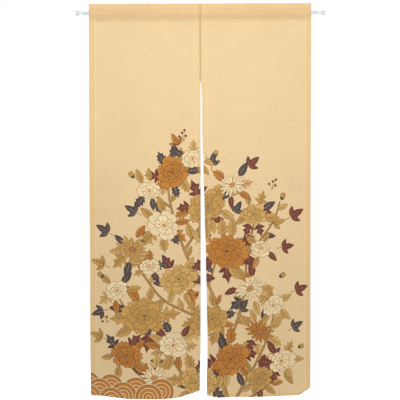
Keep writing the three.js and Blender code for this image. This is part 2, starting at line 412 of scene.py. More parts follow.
def troughs(hang, name, s, h):  # soft creases and ripples, as an offset to the back
    n = np.zeros_like(s)
    for middle, top, bottom, half, depth, lean in creases[name]:
        along = clip01((h - top) / (bottom - top))
        rise = np.sin(np.pi * np.minimum(along * 1.15, 1 if bottom < cloth["drop"] else 0.62)) ** 2
        rise = np.where(along > 0, rise, 0)
        n += depth * rise * bell(s - middle - lean * along, half)
    width = cloth["width"]
    gathered = puckers["stitching"] + puckers["gather"] * bell(s - (width - 45), 20) * (hang["side"] < 0)
    n += gathered * bell(h - 23, 9) * np.sin(s * 0.72 + 1.3 * np.sin(s * 0.061))
    below = clip01((h - 30) / 40)
    for line, sway in ((cut["slitHem"], 0.0), (width - cut["outerHem"], 2.0)):
        wave = np.sin(h * 0.43 + 2.1 * np.sin(h * 0.019 + sway))
        n += puckers["stitching"] * below * wave * bell(s - line, 6)
    hemWave = np.sin(s * 0.39 + 1.7 * np.sin(s * 0.023))
    n += puckers["bottomHem"] * hemWave * bell(h - (cloth["drop"] - cut["bottomHem"]), 7)
    seam = clip01((cloth["seamLength"] + 7 - h) / 9) * (0.12 + 0.88 * clip01((h - 21) / 8))
    return n + puckers["seam"] * seam * bell(np.maximum(s, 0), 2.4)


def hung(name, a, b, c):  # pattern place (a across, b down) and offset c through the cloth, to the frame
    hang = hangs[name]
    bend = cut["bend"]
    slitSide, outerSide = a < 0, a > mainWidth
    outS, upS, nsS, nnS = foldedEdge(np.maximum(-a, 0), bend, slitFlat)
    outO, upO, nsO, nnO = foldedEdge(np.maximum(a - mainWidth, 0), bend, outerFlat)
    s = np.where(slitSide, bend - outS, np.where(outerSide, cloth["width"] - bend + outO, bend + a))
    up = np.where(slitSide, upS, np.where(outerSide, upO, 0.0))
    s = s + c * np.where(slitSide, -nsS, np.where(outerSide, nsO, 0.0))
    through = c * np.where(slitSide, nnS, np.where(outerSide, nnO, 1.0))

    length = np.maximum(-b, 0)
    onCasing, onHem = b < 0, b > mainLength
    casingN, casingH = (np.interp(length, casingSteps, casingFine[:, i]) for i in (0, 1))
    towardN, towardH = (np.interp(length, casingSteps, casingTangents[:, i]) for i in (0, 1))
    corner = 1 - clip01((s - cut["slitHem"]) / 8) * clip01((cloth["width"] - cut["outerHem"] - s) / 8)
    hemBend = bend + cut["cornerBend"] * corner
    outH, upH, nhH, nnH = foldedEdge(np.maximum(b - mainLength, 0), hemBend, bottomFlat)
    layered = up * np.where(onCasing, 1 - 0.65 * clip01(length / 4), 1.0) + through
    h = np.where(onCasing, casingH, np.where(onHem, cloth["drop"] - bend + outH, b + cut["casingStart"]))
    n = np.where(onCasing, casingN, np.where(onHem, upH, 0.0))
    h = h + layered * np.where(onCasing, towardN, np.where(onHem, nhH, 0.0))
    n = n + layered * np.where(onCasing, -towardH, np.where(onHem, nnH, 1.0))
    return placeOn(hang, s, h, n + troughs(hang, name, s, h))


# The printed flowers: each shape is an ink, a loop of [x, h] points and how light it is, later ones on top.

finish = {
    "clothColour": (0.782, 0.563, 0.308),
    # The next four are painted light: painted shade where the cloth lies double, for the light that comes
    # through one layer but not two; painted shadow in the seam; painted shade under the rod; and a painted
    # highlight along each hem's stitching.
    "doubleLayerShade": (1.0, 0.94, 0.85),
    "seamShadowTint": (0.78, 0.72, 0.66),
    "shadeTint": (0.855, 0.85, 0.87),
    "highlightStrength": 0.07,
    "printShowsBehind": 0.34,
    "threadsPerMetre": 900.0,
    "slub": 0.1,
    "blotches": (0.94, 1.06),
}
inks = {
    "tan": (194, 149, 80),
    "gold": (206, 163, 94),
    "ochre": (188, 122, 52),
    "rust": (160, 96, 42),
    "cream": (235, 209, 165),
    "pale": (238, 213, 170),
    "line": (128, 88, 48),
    "lineDark": (112, 68, 34),
    "lineThin": (150, 116, 76),
    "slate": (80, 67, 64),
    "slateVein": (146, 126, 108),
    "maroon": (116, 60, 47),
    "maroonVein": (156, 106, 84),
    "stem": (184, 142, 84),
}
veinInks = {
    "slate": "slateVein",
    "maroon": "maroonVein",
    "tan": "line",
    "gold": "line",
    "ochre": "lineDark",
}
printed = []
chance = random.Random(11)

petalShapes = {  # half of each outline as [along, aside]
    "round": [(0, 0.1), (0.28, 0.36), (0.62, 0.5), (0.88, 0.42), (1, 0.18), (0.94, 0)],
    "notched": [(0, 0.06), (0.3, 0.33), (0.7, 0.5), (0.94, 0.34), (1, 0.13), (0.88, 0)],
    "narrow": [(0, 0.2), (0.5, 0.5), (0.86, 0.4), (1, 0.0)],
    "ruffled": [(0, 0.08), (0.34, 0.36), (0.56, 0.52), (0.66, 0.42), (0.8, 0.46), (0.88, 0.3), (1.02, 0.2)]
    + [(0.9, 0)],
    "lobed": [(0, 0.02), (0.07, 0.2), (0.3, 0.52), (0.36, 0.34), (0.34, 0.16), (0.62, 0.36), (0.68, 0.16)]
    + [(1, 0)],
    "plume": [(0, 0.02), (0.1, 0.2), (0.26, 0.4), (0.3, 0.26), (0.5, 0.44), (0.54, 0.26), (0.74, 0.3)]
    + [(0.77, 0.13), (1, 0)],
}


def betweenPoints(a, b, c, d, t):  # from b towards c on a curve through all four
    bend = (2 * a - 5 * b + 4 * c - d) * t**2 + (3 * b - a - 3 * c + d) * t**3
    return b + (c - a) * t / 2 + bend / 2


def smoothed(points, steps=2):  # a closed loop rounded through its points
    p = np.array(points, float)
    a, c, d = (np.roll(p, shift, 0) for shift in (1, -1, -2))
    return np.stack([betweenPoints(a, p, c, d, i / steps) for i in range(steps)], 1).reshape(-1, 2)


def curved(points, steps=6):  # an open line rounded through its points
    p = np.array([points[0], *points, points[-1]], float)
    made = [betweenPoints(*p[i - 1 : i + 3], k / steps) for i in range(1, len(p) - 2) for k in range(steps)]
    return np.array(made + [p[-2]])


def bothSides(half, rounded=True):
    loop = list(half) + [(u, -v) for u, v in reversed(half) if v]
    return smoothed(loop) if rounded else np.array(loop, float)


def serrated(teeth=6, swell=0.5):
    half = [(0.0, 0.0)]
    for i in range(teeth):
        u = (i + 0.9) / (teeth + 0.6)
        v = swell * math.sin(math.pi * u**0.8) ** 0.8
        half += [(u, v), (u + 0.015, v * 0.8)]
    return bothSides(half + [(1.0, 0.0)], False)


pointed = ("narrow", "lobed", "plume")
templates = {name: bothSides(half, name not in pointed) for name, half in petalShapes.items()}
templates["serrated"] = serrated()


def put(template, x, h, turn, length, width, ink, grow=0.0, light=1.0, half=False):  # turn 0 points up
    outline = templates[template]
    outline = outline[outline[:, 1] >= 0] if half else outline
    u = 0.5 + (outline[:, 0] - 0.5) * (1 + 2 * grow / length)
    v = outline[:, 1] * (1 + 2 * grow / width)
    along, side = u * length, v * width
    ux, uh = math.sin(turn), -math.cos(turn)
    printed.append((ink, np.stack([x + along * ux - side * uh, h + along * uh + side * ux], -1), light))


def disc(x, h, radius, ink, sides=12):
    turns = np.arange(sides) * 2 * np.pi / sides
    printed.append((ink, np.stack([x + radius * np.cos(turns), h + radius * np.sin(turns)], -1), 1.0))


def stroke(points, start, end, ink):  # a tapered line along its points
    p = np.array(points, float)
    toward = np.gradient(p, axis=0)
    toward /= np.linalg.norm(toward, axis=1, keepdims=True) + 1e-9
    aside = np.stack([-toward[:, 1], toward[:, 0]], -1) * np.linspace(start, end, len(p))[:, None] / 2
    printed.append((ink, np.concatenate([p + aside, (p - aside)[::-1]]), 1.0))


def outward(x, h, way, reach):
    return x + reach * math.sin(way), h - reach * math.cos(way)


def dash(x, h, way, start, end, thick, thin, ink):  # a stroke away from a place; gives its far end
    far = outward(x, h, way, end)
    stroke([outward(x, h, way, start), far], thick, thin, ink)
    return far


def petalRing(x, h, count, start, length, width, turn, shape, ink, line, thick=1.5, veins=1, light=1.0):
    for i in range(count):
        way = turn + 2 * math.pi * i / count + chance.uniform(-0.9, 0.9) / count
        size = chance.uniform(0.84, 1.14)
        petal = (shape, *outward(x, h, way, start), way, length * size, width * size)
        put(*petal, line)
        put(*petal, ink, -thick, light * chance.uniform(0.94, 1.06))
        for k in range(veins):
            lean = way + (k - (veins - 1) / 2) * 0.34
            dash(*petal[1:3], lean, length * 0.35, length * chance.uniform(0.6, 0.78), 1.8, 0.8, line)


flowerInks = {
    "ochre": ("ochre", "lineDark"),
    "tan": ("tan", "line"),
    "gold": ("gold", "line"),
    "cream": ("cream", "lineThin"),
}


def camellia(x, h, radius, tone, turn):
    ink, line = flowerInks[tone]
    for count, start, length, width, offset, shape, thick, veins, light in (
        (8, 0.22, 0.82, 0.7, 0.0, "ruffled", 2.0, 1, 1.06),
        (7, 0.14, 0.64, 0.58, 0.4, "ruffled", 1.9, 1, 1.0),
        (5, 0.06, 0.46, 0.48, 0.9, "round", 1.8, 0, 0.94),
        (3, 0.0, 0.28, 0.36, 0.2, "round", 1.6, 0, 0.88),
    ):
        sizes = radius * start, radius * length, radius * width
        petalRing(x, h, count, *sizes, turn + offset, shape, ink, line, thick, veins, light)
    disc(x, h, radius * 0.07, line, 8)


def aster(x, h, radius, tone, turn):
    ink, line = flowerInks[tone]
    start, width = radius * 0.16, radius * 0.24
    petalRing(x, h, 15, start, radius * 0.84, width, turn, "narrow", ink, line, 1.5, 0)
    petalRing(x, h, 11, start, radius * 0.56, width, turn + 0.12, "narrow", ink, line, 1.5, 0)
    disc(x, h, radius * 0.23, line)
    disc(x, h, radius * 0.19, "ochre" if tone == "cream" else "rust")
    for i in range(8):
        way = turn + i * math.pi / 4
        disc(x + radius * 0.12 * math.cos(way), h + radius * 0.12 * math.sin(way), 1.5, "pale", 5)


def blossom(x, h, radius, tone, turn):
    ink, line = flowerInks[tone]
    outer = radius * 0.04, radius * 0.98, radius * 1.04
    inner = radius * 0.02, radius * 0.6, radius * 0.6
    petalRing(x, h, 5, *outer, turn, "notched", ink, line, 1.8, 3)
    petalRing(x, h, 5, *inner, turn + 0.63, "notched", ink, line, 1.6, 1, 1.04)
    for i in range(9):
        way = turn + i * 2 * math.pi / 9
        far = dash(x, h, way, 2, radius * chance.uniform(0.3, 0.42), 1.4, 1.1, "ochre")
        disc(*far, 2.0, "rust", 6)
    disc(x, h, radius * 0.1, "ochre", 8)


def leaf(x, h, turn, length, tone, shape="serrated"):
    width = length * {"serrated": 0.52, "lobed": 0.9, "plume": 0.8}[shape]
    light = chance.uniform(0.95, 1.05)
    vein, inset = veinInks[tone], 0.0
    if tone in ("tan", "gold", "ochre"):
        inset = -1.8
        put(shape, x, h, turn, length, width, vein)
    put(shape, x, h, turn, length, width, tone, inset, light * 1.03)
    put(shape, x, h, turn, length, width, tone, inset, light * 0.9, True)
    dash(x, h, turn, length * 0.02, length * 0.86, 2.0, 0.8, vein)
    for share in (0.26, 0.46) if length > 50 else (0.34,):
        for side in (-1, 1):
            fork = outward(x, h, turn, length * share)
            dash(*fork, turn + side * 0.75, 0, length * 0.22 * (1.2 - share), 1.4, 0.6, vein)


def trio(x, h, turn, length, tone):  # three leaves on one short stalk
    far = dash(x, h, turn, 0, length * 0.45, 2.6, 2.0, "line")
    for lean, size in ((-0.95, 0.72), (0.95, 0.72), (0.0, 1.0)):
        leaf(*far, turn + lean, length * size, tone)


def bud(x, h, turn, size, tone):
    ink, line = flowerInks[tone]
    for width, thick in ((0.7, 1.4), (0.34, 1.2)):
        put("round", x, h, turn, size, size * width, line)
        put("round", x, h, turn, size, size * width, ink, -thick)
    for side in (-0.5, 0.5):
        put("narrow", x, h, turn + side, size * 0.5, size * 0.26, "slate")


def berries(x, h, turn):
    for lean, reach in ((-0.6, 24), (0.0, 32), (0.55, 22), (0.25, 42)):
        far = dash(x, h, turn + lean, 0, reach, 1.4, 1.0, "line")
        disc(*far, 5.0, "lineDark", 10)
        disc(*far, 4.0, "maroon", 10)


stems = [  # points [x, h] from the root up, width at the root, width at the tip
    ([(84, 1478), (52, 1330), (60, 1180), (8, 1040), (-62, 900), (-112, 740), (-128, 620)], 17, 5),
    ([(50, 1330), (112, 1200), (152, 1080), (166, 930), (200, 790)], 12, 5),
    ([(58, 1180), (-52, 1136), (-150, 1082), (-232, 970), (-262, 900)], 10, 4),
    ([(-34, 1478), (-76, 1360), (-160, 1270), (-244, 1184), (-316, 1076)], 12, 4),
    ([(112, 1478), (190, 1350), (250, 1230), (276, 1130)], 11, 4),
    ([(-62, 900), (4, 800), (66, 722), (112, 664)], 8, 4),
    ([(10, 1040), (44, 930), (64, 860)], 7, 4),
    ([(-92, 1478), (-196, 1404), (-290, 1320)], 8, 4),
    ([(150, 1478), (244, 1424), (304, 1346)], 8, 4),
    ([(-112, 740), (-160, 704), (-196, 676)], 6, 4),
    ([(166, 930), (226, 860), (276, 792), (300, 720)], 6, 3),
]
flowers = [  # kind, x, h, radius, tone
    ("camellia", 84, 908, 84, "ochre"),
    ("camellia", -214, 1150, 86, "tan"),
    ("camellia", 14, 738, 76, "tan"),
    ("camellia", 96, 1320, 76, "ochre"),
    ("camellia", -84, 1010, 70, "gold"),
    ("camellia", -108, 604, 64, "ochre"),
    ("camellia", 20, 1168, 62, "tan"),
    ("blossom", -140, 806, 62, "cream"),
    ("aster", -258, 900, 62, "tan"),
    ("aster", 176, 1052, 62, "cream"),
    ("camellia", -16, 1404, 62, "gold"),
    ("camellia", -284, 1300, 60, "ochre"),
    ("blossom", -104, 1262, 60, "cream"),
    ("aster", -176, 1384, 56, "cream"),
    ("aster", 214, 1216, 56, "ochre"),
    ("camellia", 196, 770, 54, "gold"),
    ("aster", 112, 656, 54, "cream"),
    ("camellia", 214, 1392, 54, "tan"),
    ("blossom", 304, 1330, 54, "cream"),
    ("blossom", -196, 676, 46, "cream"),
    ("blossom", 270, 1118, 46, "cream"),
    ("blossom", -30, 552, 44, "cream"),
    ("blossom", -318, 1056, 44, "cream"),
    ("blossom", 222, 900, 40, "cream"),
    ("blossom", -196, 962, 36, "cream"),
]
sprigs = [  # kind, x, h, turn in degrees, size
    ("bud", -252, 628, -40, 30),
    ("bud", 48, 548, 10, 26),
    ("bud", 306, 716, 20, 30),
    ("bud", 296, 1010, 60, 28),
    ("bud", -372, 1010, -50, 28),
    ("bud", 372, 1280, 70, 26),
    ("berries", 268, 676, 10, 0),
    ("berries", -352, 1180, -50, 0),
    ("berries", -64, 486, -10, 0),
]
leafTones = ["tan", "gold", "ochre", "tan", "slate", "gold", "tan", "maroon"]
trios = [  # x, h, turn in degrees, length, tone
    (-224, 770, -60, 52, "slate"),
    (-330, 850, -60, 56, "slate"),
    (-74, 520, -30, 50, "ochre"),
    (30, 600, 10, 50, "slate"),
    (160, 600, 50, 54, "maroon"),
    (252, 810, 75, 50, "tan"),
    (322, 792, 60, 58, "maroon"),
    (286, 900, 80, 50, "maroon"),
    (340, 1070, 70, 54, "maroon"),
    (330, 1216, 60, 50, "slate"),
    (-346, 970, -70, 54, "tan"),
    (-352, 1130, -110, 50, "slate"),
    (-356, 1248, -70, 52, "tan"),
    (-180, 880, -40, 50, "slate"),
    (-20, 880, 20, 54, "slate"),
    (110, 780, 30, 50, "slate"),
    (-20, 1106, -20, 50, "maroon"),
    (120, 1150, 40, 52, "slate"),
    (-150, 1290, 200, 50, "slate"),
    (250, 1300, 100, 52, "maroon"),
    (-40, 1330, 160, 50, "slate"),
    (160, 1432, 80, 48, "slate"),
]


def leafTone(x):  # slate comes most on the left, maroon on the right
    return chance.choice(["slate" if x < 0 else "maroon"] + leafTones)


def drawStems():
    for points, start, end in stems:
        line = curved(points)
        stroke(line, start + 2.4, end + 2.2, "line")
        stroke(line, start - 1, end - 1, "stem")
        stroke(line[1:-1] + [start * 0.16, 0], 1.6, 1.1, "line")


def drawLeaves():
    for x, h, turn, length, tone in trios:
        trio(x, h, math.radians(turn), length, tone)
    for points, start, _ in stems:
        line = curved(points)
        for i in range(3, len(line) - 2, 4):
            side = 1 if (i // 4) % 2 else -1
            toward = line[i + 1] - line[i]
            way = math.atan2(toward[0], -toward[1]) + side * chance.uniform(0.7, 1.2)
            tone = leafTone(line[i][0])
            leaf(*line[i], way, chance.uniform(44, 66), tone)
    for _, x, h, radius, _ in flowers:
        count = 8 if radius > 60 else 7 if radius > 50 else 5
        first = chance.uniform(0, 2 * math.pi)
        for i in range(count):
            way = first + 2 * math.pi * i / count + chance.uniform(-0.35, 0.35)
            start = radius * chance.uniform(0.62, 0.86)
            shape = chance.choice(["serrated", "serrated", "serrated", "lobed", "plume"])
            tone = leafTone(x)
            length = chance.uniform(0.8, 1.15) * (34 + radius * 0.42)
            leaf(*outward(x, h, way, start), way + chance.uniform(-0.4, 0.4), length, tone, shape)


def drawWaves():  # the traditional overlapping wave scales, low at the left
    radius = 50
    for row in range(3):
        for column in range(-1, 4 - row):
            x = -436 + (column + (row % 2) * 0.5) * radius * 1.9
            h = 1398 + row * radius * 0.5 + column * 5
            rings = [(1.05, "pale"), (1, "line"), (0.95, "ochre"), (0.74, "pale"), (0.69, "ochre")]
            rings += [(0.46, "pale"), (0.41, "ochre"), (0.2, "pale"), (0.15, "ochre")]
            for ring, ink in rings:
                disc(x, h + radius * 0.5, radius * ring, ink, 26 if ring > 0.5 else 20)


def tilt(first, x, h, squash, turn):  # a flower seen a little from the side
    c, s = math.cos(turn), math.sin(turn)
    turned = np.array([[c, -s], [s, c]])
    shape = turned @ np.diag([1.04, squash]) @ turned.T
    for i in range(first, len(printed)):
        ink, loop, light = printed[i]
        printed[i] = (ink, (loop - [x, h]) @ shape.T + [x, h], light)


def drawPrint():
    drawStems()
    drawLeaves()
    for kind, x, h, turn, size in sprigs:
        if kind == "bud":
            bud(x, h, math.radians(turn), size, "tan")
        else:
            berries(x, h, math.radians(turn))
    kinds = {"camellia": camellia, "aster": aster, "blossom": blossom}
    for kind, x, h, radius, tone in flowers:
        first = len(printed)
        kinds[kind](x, h, radius, tone, chance.uniform(0, 6))
        tilt(first, x, h, chance.uniform(0.72, 0.9), chance.uniform(-0.7, 0.7))
    drawWaves()


def insideLoop(points, loop):
    x, y = points[:, 0][:, None], points[:, 1][:, None]
    x1, y1 = loop[:, 0][None], loop[:, 1][None]
    x2, y2 = np.roll(loop[:, 0], -1)[None], np.roll(loop[:, 1], -1)[None]
    spans = (y1 > y) != (y2 > y)
    run = np.where(y2 == y1, 1e-9, y2 - y1)
    return (spans & (x < (x2 - x1) * (y - y1) / run + x1)).sum(1) % 2 == 1


def shownEdges():  # for each shape, which of its edges aren't wholly under a later shape
    sizes = [len(loop) for _, loop, _ in printed]
    starts = np.concatenate([[0], np.cumsum(sizes)])
    points = np.concatenate([loop for _, loop, _ in printed])
    after = np.concatenate([np.roll(loop, -1, 0) for _, loop, _ in printed])
    checked = np.stack([points, (points + after) / 2, after], 1)
    low, high = checked.min(1), checked.max(1)
    shown = np.ones(len(points), bool)
    for k, (_, loop, _) in enumerate(printed):
        before = slice(0, starts[k])
        within = (low[before] > loop.min(0)).all(1) & (high[before] < loop.max(0)).all(1) & shown[before]
        near = np.nonzero(within)[0]
        if len(near):
            covered = insideLoop(checked[near].reshape(-1, 2), loop).reshape(-1, 3).all(1)
            shown[near[covered]] = False
    return [shown[starts[k] : starts[k + 1]] for k in range(len(printed))]


drawPrint()
shown = shownEdges()
print("print drawn:", len(printed), "shapes,", sum(len(loop) for _, loop, _ in printed), "points")

# The cloth panels, each one mesh of both faces with its hems and casing turned.

tints = {
    "casingTo": 29.5,
    "highlightFromStitch": 1.2,
    "highlightHalfWidth": 2.6,
    "seamShadowHalf": 2.3,
    "rodShade": {"left": (13, 7), "right": (11, 12)},  # where it ends below the rod, and its run
}
meshSteps = {
    "across": 9.6,
    "down": 13.6,
    "corner": 4.5,
    "cornerReach": 95.0,
    "casingLongest": 7.0,
    "stitchIn": 1.8,
}


def spaced(start, end, step):
    count = max(1, round((end - start) / step))
    return [start + (end - start) * i / count for i in range(count)]


def acrossStops(name):
    bend, inside = cut["bend"], meshSteps["stitchIn"]
    slit = sorted(-t for t in foldStops(slitFlat, cut["slitTuck"], inside))
    outer = [mainWidth + t for t in foldStops(outerFlat, cut["outerTuck"], inside)]
    slitLine = cut["slitHem"] - bend
    outerLine = mainWidth + bend - cut["outerHem"]
    near = [-3.4, -1.8, -0.5, 0.5]
    stops = [0.0, 1.4, 3.0, 7.0, 11.0] + [slitLine + d for d in near]
    rightCorner = name == "right"
    fineFrom = outerLine - 80 if rightCorner else outerLine
    stops += spaced(slitLine + 6, fineFrom, meshSteps["across"])
    stops += spaced(fineFrom, outerLine - 4, meshSteps["corner"]) if rightCorner else []
    stops += [outerLine - d for d in near[::-1]]
    stops += spaced(outerLine + 6.4, mainWidth, meshSteps["corner"]) + [mainWidth]
    return slit, sorted(stops), outer


def downStops():
    inside = meshSteps["stitchIn"]
    lengths = [0.0]
    for a, b in zip(casingLengths[:-1], casingLengths[1:]):
        count = max(1, math.ceil((b - a) / meshSteps["casingLongest"]))
        lengths += [a + (b - a) * (i + 1) / count for i in range(count)]
    up = sorted(-length for length in lengths[1:])
    hemLine = mainLength + cut["bend"] - cut["bottomHem"]
    fineFrom = mainLength - meshSteps["cornerReach"]
    slitStart = cloth["seamLength"] - cut["casingStart"]
    stops = [0.0, 3.0, 6.5, 11.0] + spaced(17.0, slitStart - 9, meshSteps["down"])
    stops += [slitStart + d for d in (-9, -4, -1, 1, 3.5, 6.5, 10)]
    stops += spaced(slitStart + 20, fineFrom, meshSteps["down"])
    stops += spaced(fineFrom, hemLine - 4, meshSteps["corner"])
    stops += [hemLine + d for d in (-3.4, -1.8, -0.5, 0.5)]
    stops += spaced(hemLine + 4, mainLength, meshSteps["corner"]) + [mainLength]
    hem = [mainLength + t for t in foldStops(bottomFlat, cut["bottomTuck"], inside)]
    return up, stops, hem


def panelPattern(name):  # the flat cut as points, triangles and the printed shape on each triangle
    slit, main, outer = acrossStops(name)
    up, body, hem = downStops()
    columns, rows = np.array(slit + main + outer), np.array(up + body + hem)
    points = [Vector((a, b)) for a in columns for b in rows]
    count = len(rows)
    edges = []
    edgeColumns = [i for i, a in enumerate(columns) if a <= 0 or a >= mainWidth]
    edgeRows = [j for j, b in enumerate(rows) if b <= 0 or b >= mainLength]
    for i in edgeColumns:
        edges += [(i * count + j, i * count + j + 1) for j in range(count - 1)]
    for j in edgeRows:
        edges += [(i * count + j, (i + 1) * count + j) for i in range(len(columns) - 1)]
    side = hangs[name]["side"]
    loops = []
    for k, ((_, loop, _), visible) in enumerate(zip(printed, shown)):
        a = side * loop[:, 0] - cloth["gap"] / 2 - cut["bend"]
        b = loop[:, 1] - cut["casingStart"]
        flat = np.stack([a, b], -1)
        if a.max() < columns[0] + 1 or a.min() > columns[-1] - 1:
            continue
        loops.append((k, flat))
        used = visible | np.roll(visible, 1)
        place = len(points) + np.cumsum(used) - 1
        points += [Vector(p) for p in flat[used]]
        edges += [(place[i], place[(i + 1) % len(flat)]) for i in np.nonzero(visible)[0]]
    made = delaunay_2d_cdt(points, edges, [], 0, 0.02, False)
    places = np.array([(v.x, v.y) for v in made[0]])
    triangles = np.array(made[2])
    middle = places[triangles].mean(1)
    keep = ((middle > [columns[0], rows[0]]) & (middle < [columns[-1], rows[-1]])).all(1)
    one, two = (places[triangles[:, i]] - places[triangles[:, 0]] for i in (1, 2))
    area = one[:, 0] * two[:, 1] - one[:, 1] * two[:, 0]
    keep &= np.abs(area) > 1e-5
    triangles = np.where((area < 0)[:, None], triangles[:, [0, 2, 1]], triangles)[keep]
    middle = middle[keep]
    found = np.full(len(triangles), -1)
    for k, loop in loops:
        near = np.nonzero(((middle > loop.min(0)) & (middle < loop.max(0))).all(1))[0]
        if len(near):
            found[near[insideLoop(middle[near], loop)]] = k
    used, index = np.unique(triangles, return_inverse=True)
    return places[used], index.reshape(-1, 3), found, columns, rows


def buildPanel(name):
    places, triangles, found, columns, rows = panelPattern(name)
    a, b = places[:, 0], places[:, 1]
    half = cloth["thickness"] / 2
    front, back = hung(name, a, b, np.full_like(a, -half)), hung(name, a, b, np.full_like(a, half))
    count = len(places)
    facing = triangles if hangs[name]["side"] < 0 else triangles[:, ::-1]
    openSides = facing[:, [0, 1, 1, 2, 2, 0]].reshape(-1, 2)
    facingSides = np.sort(openSides, axis=1)
    _, first, uses = np.unique(facingSides, axis=0, return_index=True, return_counts=True)
    openSides = openSides[first[uses == 1]]
    rim = np.stack([openSides[:, 1], openSides[:, 0], openSides[:, 0] + count, openSides[:, 1] + count], -1)
    mesh = bpy.data.meshes.new(name + "PanelCloth")
    corners = np.concatenate([facing.ravel(), (facing[:, ::-1] + count).ravel(), rim.ravel()])
    faceSizes = np.concatenate([np.full(2 * len(triangles), 3), np.full(len(rim), 4)])
    mesh.vertices.add(2 * count)
    mesh.vertices.foreach_set("co", (np.concatenate([front, back]) * mm).ravel())
    mesh.loops.add(len(corners))
    mesh.loops.foreach_set("vertex_index", corners)
    mesh.polygons.add(len(faceSizes))
    mesh.polygons.foreach_set("loop_start", np.concatenate([[0], np.cumsum(faceSizes)[:-1]]))
    mesh.polygons.foreach_set("use_smooth", np.ones(len(faceSizes), bool))
    mesh.update(calc_edges=True)

    # The flat cut in metres, which the weave follows, and a neat map of both faces.
    both = np.concatenate([places, places])
    flatMap = mesh.uv_layers.new(name="clothFlat")
    flatMap.data.foreach_set("uv", (both[corners] * mm).ravel())
    low, high = np.array([columns[0], rows[0]]), np.array([columns[-1], rows[-1]])
    share = (both - low) / (high - low)
    share[:, 1] = 0.006 + 0.988 * (1 - share[:, 1])
    share[:, 0] = 0.006 + 0.48 * share[:, 0]
    share[count:, 0] += 0.508
    neat = share[corners]
    rimStart = 2 * facing.size
    rimFront = share[rim[:, :2]]
    fromMiddle = rimFront.mean(1) - np.array([0.246, 0.5])
    atSide = np.abs(fromMiddle[:, :1]) / 0.24 > np.abs(fromMiddle[:, 1:]) / 0.494
    overRim = np.where(atSide, [[1, 0]], [[0, 1]]) * np.sign(fromMiddle) * 0.004
    rimBack = rimFront[:, ::-1] + overRim[:, None]
    neat[rimStart:] = np.concatenate([rimFront, rimBack], 1).reshape(-1, 2)
    neatMap = mesh.uv_layers.new(name="OFBake")
    neatMap.data.foreach_set("uv", neat.ravel())
    mesh.uv_layers.active = flatMap

    # Ink on each face: colour and how much of it covers the cloth.
    table = np.array([(*toLinear(inks[ink]), 1.0) for ink, _, _ in printed] + [(0.5, 0.5, 0.5, 0.0)])
    table[:-1, :3] *= np.array([[light] for _, _, light in printed])
    faceInk = np.concatenate([table[found], table[found]])
    ink = np.concatenate([np.repeat(faceInk, 3, 0), np.tile(table[-1], (rim.size, 1))])
    colours = mesh.color_attributes.new("printInk", "FLOAT_COLOR", "CORNER")
    colours.data.foreach_set("color", ink.ravel())

    # Painted light on the cloth: painted shade where it lies double, for the light that comes through one
    # layer but not two; a painted highlight beside each hem's stitching; painted shadow in the seam; and
    # painted shade under the rod, below the casing's stitch row and in the gathers at the left panel's
    # outer end.
    s, h = a + cut["bend"], b + cut["casingStart"]
    slitLine, outerLine = cut["slitHem"], cloth["width"] - cut["outerHem"]
    bottomLine = cloth["drop"] - cut["bottomHem"]
    turned = (s > outerLine) | (h > bottomLine) | (h < tints["casingTo"])
    double = np.where(turned, 1.0, np.where(s < slitLine, 0.12, 0.0))
    # A painted highlight on the raised ridge beside each hem's stitching.
    ridgeLit = np.zeros_like(s)
    for place, line in ((s, slitLine), (-s, -outerLine), (-h, -bottomLine)):
        away = np.abs(place - (line + tints["highlightFromStitch"]))
        ridgeLit = np.maximum(ridgeLit, clip01(1 - away / tints["highlightHalfWidth"]))
    # Painted shadow in the seam's groove, down to where the slit begins.
    fromSeam = np.maximum(s, 0) + np.maximum(-1.8 - s, 0)
    seamShadowMask = clip01((cloth["seamLength"] + 3 - h) / 6) * bell(fromSeam, tints["seamShadowHalf"])
    fadeEnd, fadeRun = tints["rodShade"][name]
    underRod = clip01(0.6 - b / 5.5) * (1 - 0.95 * clip01((-b - 20) / 8))
    shade = np.where(b < 0, underRod, 0.6 * clip01((fadeEnd - b) / fadeRun))
    # Painted shade in the gathers at the left panel's outer end, just below the casing.
    if name == "left":
        shade = shade + puckers["gather"] * bell(s - (cloth["width"] - 48), 14) * bell(b - 1, 5)
    for key, values in (("doubled", double), ("paintedRidgeHighlight", ridgeLit), ("paintedSeamShadow", seamShadowMask), ("shade", shade)):
        layer = mesh.attributes.new(key, "FLOAT", "POINT")
        layer.data.foreach_set("value", np.concatenate([values, values]))
    ends = np.zeros(2 * len(mesh.edges), int)
    mesh.edges.foreach_get("vertices", ends)
    keys, rimKeys = (np.sort(pairs.reshape(-1, 2), axis=1) @ [2 * count, 1] for pairs in (ends, rim))
    sharp = np.isin(keys, rimKeys)
    mesh.attributes.new("sharp_edge", "BOOLEAN", "EDGE").data.foreach_set("value", sharp)

    faceSide = np.zeros(len(faceSizes), int)
    faceSide[len(triangles) : 2 * len(triangles)] = 1
    mesh.polygons.foreach_set("material_index", faceSide)
    print(name, "panel:", len(faceSizes), "faces")
    return addObject(name + "PanelCloth", mesh)


# Materials. The weave, and the fine grain of the rod's parts, are groups used by several of them.


def calculate(tree, operation, first, *others):  # more than two terms are taken in turn
    for terms in [{1: other} for other in others] or [{}]:
        first = addNode(tree, "Math", {0: first, **terms}, operation=operation).outputs[0]
    return first


def times(tree, *terms):
    return calculate(tree, "MULTIPLY", *terms)


def plus(tree, *terms):
    return calculate(tree, "ADD", *terms)


def mixColours(tree, kind, share, one, two):
    settings = {"data_type": "RGBA", "blend_type": kind, "clamp_factor": True}
    return addNode(tree, "Mix", {0: share, 6: one, 7: two}, **settings).outputs[2]


def newGroup(name, numbers):  # takes a place and its numbers, and gives a tone and a height
    tree = bpy.data.node_groups.new(name, "ShaderNodeTree")
    tree.interface.new_socket(name="Place", in_out="INPUT", socket_type="NodeSocketVector")
    for label, value in numbers.items():
        socket = tree.interface.new_socket(name=label, in_out="INPUT", socket_type="NodeSocketFloat")
        socket.default_value = value
    for label in ("Tone", "Height"):
        tree.interface.new_socket(name=label, in_out="OUTPUT", socket_type="NodeSocketFloat")
    return tree, tree.nodes.new("NodeGroupInput").outputs, tree.nodes.new("NodeGroupOutput")


